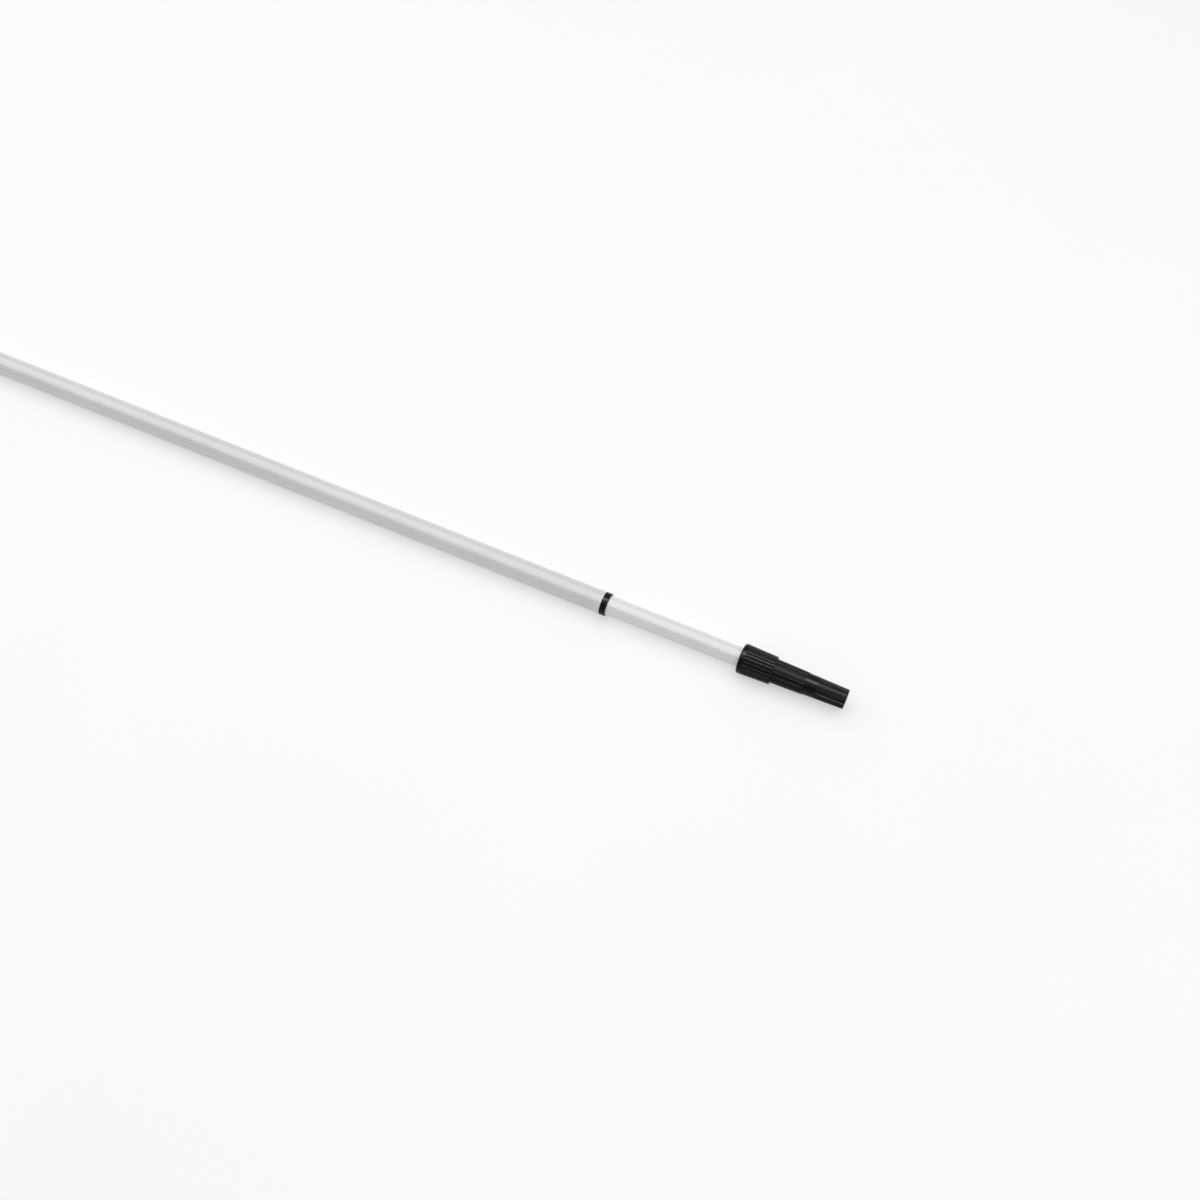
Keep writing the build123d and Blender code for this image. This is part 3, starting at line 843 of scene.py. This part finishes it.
def make_camera():
    """Camera at the three-quarter view from above, on the side of the tip."""
    azimuth = math.radians(VIEW_AZIMUTH)
    elevation = math.radians(VIEW_ELEVATION)
    right = Vector((math.cos(azimuth), math.sin(azimuth), 0))
    back = Vector(
        (
            math.sin(azimuth) * math.cos(elevation),
            -math.cos(azimuth) * math.cos(elevation),
            math.sin(elevation),
        )
    )
    up = back.cross(right)
    aim = Vector((COLLAR_FRONT, 0, AXIS_Z)) + right * AIM_ACROSS + up * AIM_UP
    data = bpy.data.cameras.new("camera")
    data.lens = LENS
    data.sensor_width = SENSOR
    data.clip_start = 0.01
    camera = bpy.data.objects.new("camera", data)
    turn = Matrix((right, up, back)).transposed().to_4x4()
    camera.matrix_world = Matrix.Translation(aim + back * VIEW_DISTANCE) @ turn
    bpy.context.scene.collection.objects.link(camera)
    bpy.context.scene.camera = camera


# The pole lies in a light tent: pale behind and above, dimmer in front, with a strip light overhead
# at the back. Angles run over the pole from the back horizon, and all light is the same along X.
TENT_BACK = 0.60
TENT_FRONT = 0.32
TENT_EDGE = 0.5  # the front panel begins where its distance is this share of its height
TENT_SEAM = 0.025
SKIRT = 0.75
HORIZON = (0.05, 0.25)  # heights between which the pale skirt of the tent fades
STRIP_DISTANCE = 2.2
STRIP_LENGTH = 6.0
MAIN_STRIP = (math.radians(84), 2.95, 66)  # angle, width and power
RIB_STRIP = (math.radians(76), 0.7, 190)
FLOOR_SIZE = 40.0


def make_tent():
    """World light that depends on the direction across the pole and on the height."""
    world = bpy.data.worlds.new("light_tent")
    world.use_nodes = True
    tree = world.node_tree
    place = tree.nodes.new("ShaderNodeTexCoord").outputs["Generated"]
    parts = tree.nodes.new("ShaderNodeSeparateXYZ")
    tree.links.new(place, parts.inputs["Vector"])

    def sum_of(first, share, second):
        node = tree.nodes.new("ShaderNodeMath")
        node.operation = "MULTIPLY_ADD"
        tree.links.new(first, node.inputs[0])
        node.inputs[1].default_value = share
        tree.links.new(second, node.inputs[2])
        return node.outputs[0]

    def fade(value, low, high, to_low, to_high):
        node = tree.nodes.new("ShaderNodeMapRange")
        node.interpolation_type = "SMOOTHSTEP"
        for socket, number in zip(node.inputs[1:5], (low, high, to_low, to_high)):
            socket.default_value = number
        tree.links.new(value, node.inputs["Value"])
        return node.outputs["Result"]

    behind = sum_of(parts.outputs["Z"], TENT_EDGE, parts.outputs["Y"])
    panel = fade(behind, -TENT_SEAM, TENT_SEAM, TENT_FRONT, TENT_BACK)
    skirt = fade(parts.outputs["Z"], *HORIZON, SKIRT, 0)
    brighter = tree.nodes.new("ShaderNodeMath")
    brighter.operation = "MAXIMUM"
    tree.links.new(panel, brighter.inputs[0])
    tree.links.new(skirt, brighter.inputs[1])
    tree.links.new(brighter.outputs[0], tree.nodes["Background"].inputs["Strength"])
    tree.nodes["Background"].inputs["Color"].default_value = (1, 1, 1, 1)
    bpy.context.scene.world = world


def strip_light(name, angle, width, power):
    """Long soft light that faces the pole from an angle over the back horizon."""
    data = bpy.data.lights.new(name, "AREA")
    data.shape = "RECTANGLE"
    data.size = STRIP_LENGTH
    data.size_y = width
    data.energy = power
    light = bpy.data.objects.new(name, data)
    y = STRIP_DISTANCE * math.cos(angle)
    z = STRIP_DISTANCE * math.sin(angle)
    light.location = (0, y, AXIS_Z + z)
    light.rotation_euler = (angle - math.pi / 2, 0, 0)
    light.visible_camera = False
    bpy.context.scene.collection.objects.link(light)
    return light


def make_lights(black_pieces):
    """The main light, and a second that brings out the ribs and flutes of the black pieces alone."""
    strip_light("main_strip", *MAIN_STRIP)
    rib_light = strip_light("rib_strip", *RIB_STRIP)
    lit = bpy.data.collections.new("lit_by_rib_strip")
    for piece in black_pieces:
        lit.objects.link(piece)
    rib_light.light_linking.receiver_collection = lit


def make_floor():
    bm = bmesh.new()
    bmesh.ops.create_grid(bm, x_segments=8, y_segments=8, size=FLOOR_SIZE / 2)
    mesh = bpy.data.meshes.new("floor")
    bm.to_mesh(mesh)
    bm.free()
    floor = bpy.data.objects.new("floor", mesh)
    bpy.context.scene.collection.objects.link(floor)
    mesh.materials.append(floor_paint("floor_paint"))


def make_studio(black_pieces):
    """Pale floor and soft light, with colours shown as they are."""
    make_floor()
    make_tent()
    make_lights(black_pieces)
    bpy.context.scene.view_settings.view_transform = "Standard"


def make_mouldings():
    """The black pieces that can be seen."""
    black = black_plastic()
    return [
        make_collar(black),
        make_ferrule(black),
        make_tip(black),
        make_grip(grip_plastic()),
        make_cap(black),
    ]


make_camera()
make_tubes()
black_pieces = make_mouldings()
dress_lock()
make_studio(black_pieces)
